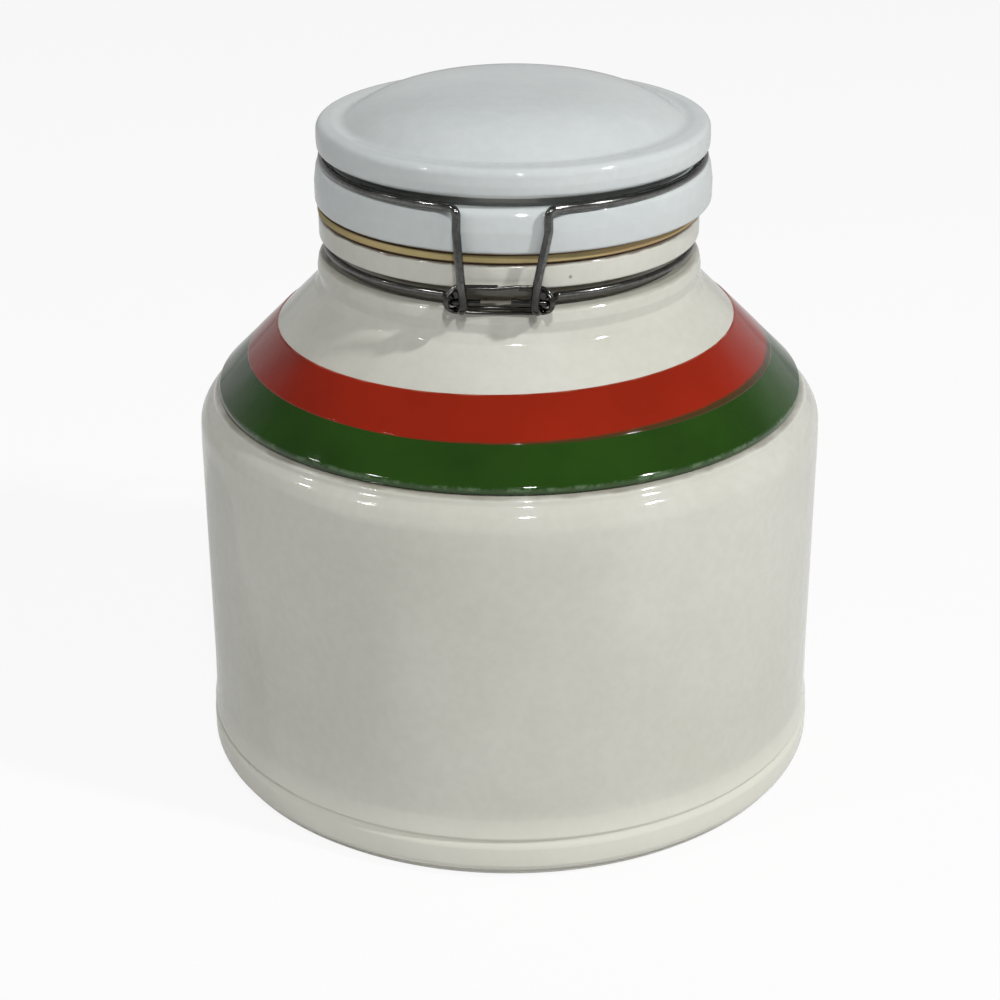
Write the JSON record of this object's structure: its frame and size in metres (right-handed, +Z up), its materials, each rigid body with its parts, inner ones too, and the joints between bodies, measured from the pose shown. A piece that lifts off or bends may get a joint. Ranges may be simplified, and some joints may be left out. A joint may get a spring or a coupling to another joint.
{
  "type": "cookie jar",
  "caption": "Glazed stoneware jar with a sloped shoulder in red and green glaze, and a hinged domed lid with a rubber ring and a wire lever closure.",
  "frame": {"origin": "centre of the foot, on the surface that the jar stands on", "axes": "+Z up along the jar's axis, -Y towards the lid's hinge, +Y towards the lever closure"},
  "size_m": [0.1814, 0.1814, 0.1986],
  "materials": {
    "ivory_glaze": "glossy, with faint crazing and pinholes",
    "white_glaze": "glossy",
    "green_glaze": "glossy",
    "red_glaze": "glossy",
    "tan_rubber": "matt, aged",
    "steel_wire": "drawn wire, darkened"
  },
  "bodies": {
    "jar": {"jar_body": "ivory_glaze", "green_glaze_band": "green_glaze", "red_glaze_band": "red_glaze", "neck_wire": "steel_wire", "hinge_link": "steel_wire"},
    "closure_lid": {"lid": "white_glaze", "gasket": "tan_rubber", "lid_wire": "steel_wire"},
    "lever": {"latch_lever": "steel_wire"},
    "hasp": {"latch_hasp": "steel_wire"}
  },
  "joints": [
    {"name": "lid_hinge", "type": "hinge", "parent": "jar", "child": "closure_lid", "pos_m": [0, -0.0559, 0.1547], "axis": [1, 0, 0], "range_deg": [0, 100]},
    {"name": "lever_pivot", "type": "hinge", "parent": "jar", "child": "lever", "pos_m": [0, 0.0595, 0.1547], "axis": [1, 0, 0], "range_deg": [-20, 55]},
    {"name": "hasp_pivot", "type": "hinge", "parent": "lever", "child": "hasp", "pos_m": [0, 0.06055, 0.14742], "axis": [1, 0, 0], "range_deg": [-88, 32]}
  ],
  "couplings": [
    {"joint": "hasp_pivot", "follows": "lever_pivot", "ratio": -1.6}
  ]
}
